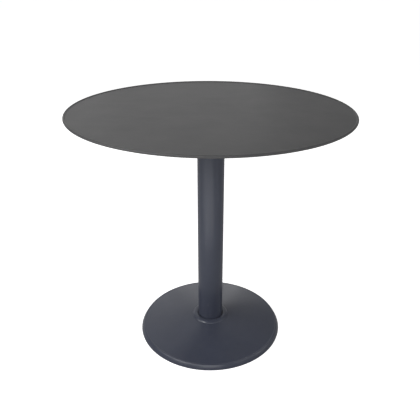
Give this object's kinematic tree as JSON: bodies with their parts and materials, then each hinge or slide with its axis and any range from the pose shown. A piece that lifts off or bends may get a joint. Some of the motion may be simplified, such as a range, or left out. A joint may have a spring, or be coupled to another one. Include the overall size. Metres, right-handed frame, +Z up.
{
  "type": "bistro table",
  "caption": "Round bistro table with a thin rimmed steel top, a plain round column, and a low conical weighted base on levelling feet.",
  "frame": {"origin": "On the floor, under the middle of the base.", "axes": "+Z up along the column; the table is round, and the feet stand at 45 degrees between X and Y."},
  "size_m": [0.8, 0.8, 0.74],
  "materials": {
    "top_paint": "fine-textured matt charcoal powder coat",
    "frame_paint": "satin anthracite powder coat",
    "cast_iron": "black dip paint over a sand-cast skin",
    "zinc_steel": "bright zinc plate",
    "gasket_rubber": "matt black",
    "foot_plastic": "moulded, lightly textured"
  },
  "bodies": {
    "table": {"tabletop_sheet": "top_paint", "tabletop_rim_ring": "top_paint", "tabletop_backing_disc": "top_paint", "stiffening_rib_1": "top_paint", "stiffening_rib_2": "top_paint", "stiffening_rib_3": "top_paint", "stiffening_rib_4": "top_paint", "top_spider": "cast_iron", "weld_stud_1": "zinc_steel", "weld_stud_2": "zinc_steel", "weld_stud_3": "zinc_steel", "weld_stud_4": "zinc_steel", "stud_washer_1": "zinc_steel", "stud_washer_2": "zinc_steel", "stud_washer_3": "zinc_steel", "stud_washer_4": "zinc_steel", "stud_nut_1": "zinc_steel", "stud_nut_2": "zinc_steel", "stud_nut_3": "zinc_steel", "stud_nut_4": "zinc_steel", "column_tube": "frame_paint", "tie_rod": "zinc_steel", "tie_rod_top_washer": "zinc_steel", "tie_rod_top_nut": "zinc_steel", "tie_rod_bottom_washer": "zinc_steel", "tie_rod_bottom_nut": "zinc_steel", "column_foot_plug": "cast_iron", "base_weight": "cast_iron", "base_cover": "frame_paint", "column_collar": "frame_paint", "collar_gasket": "gasket_rubber"},
    "foot_pad_1": {"foot_pad_1": "foot_plastic"},
    "foot_stem_1": {"foot_stem_1": "zinc_steel"},
    "foot_pad_2": {"foot_pad_2": "foot_plastic"},
    "foot_stem_2": {"foot_stem_2": "zinc_steel"},
    "foot_pad_3": {"foot_pad_3": "foot_plastic"},
    "foot_stem_3": {"foot_stem_3": "zinc_steel"},
    "foot_pad_4": {"foot_pad_4": "foot_plastic"},
    "foot_stem_4": {"foot_stem_4": "zinc_steel"}
  },
  "joints": [
    {"name": "foot_1_slide", "type": "slide", "parent": "table", "child": "foot_pad_1", "axis": [0, 0, -1], "range_m": [0, 0.005]},
    {"name": "foot_1_turn", "type": "hinge", "parent": "foot_pad_1", "child": "foot_stem_1", "pos_m": [0.13081, 0.13081, 0], "axis": [0, 0, -1], "range_deg": [0, 1440]},
    {"name": "foot_2_slide", "type": "slide", "parent": "table", "child": "foot_pad_2", "axis": [0, 0, -1], "range_m": [0, 0.005]},
    {"name": "foot_2_turn", "type": "hinge", "parent": "foot_pad_2", "child": "foot_stem_2", "pos_m": [-0.13081, 0.13081, 0], "axis": [0, 0, -1], "range_deg": [0, 1440]},
    {"name": "foot_3_slide", "type": "slide", "parent": "table", "child": "foot_pad_3", "axis": [0, 0, -1], "range_m": [0, 0.005]},
    {"name": "foot_3_turn", "type": "hinge", "parent": "foot_pad_3", "child": "foot_stem_3", "pos_m": [-0.13081, -0.13081, 0], "axis": [0, 0, -1], "range_deg": [0, 1440]},
    {"name": "foot_4_slide", "type": "slide", "parent": "table", "child": "foot_pad_4", "axis": [0, 0, -1], "range_m": [0, 0.005]},
    {"name": "foot_4_turn", "type": "hinge", "parent": "foot_pad_4", "child": "foot_stem_4", "pos_m": [0.13081, -0.13081, 0], "axis": [0, 0, -1], "range_deg": [0, 1440]}
  ],
  "couplings": [
    {"joint": "foot_1_turn", "follows": "foot_1_slide", "rad_per_m": 5026.5},
    {"joint": "foot_2_turn", "follows": "foot_2_slide", "rad_per_m": 5026.5},
    {"joint": "foot_3_turn", "follows": "foot_3_slide", "rad_per_m": 5026.5},
    {"joint": "foot_4_turn", "follows": "foot_4_slide", "rad_per_m": 5026.5}
  ]
}
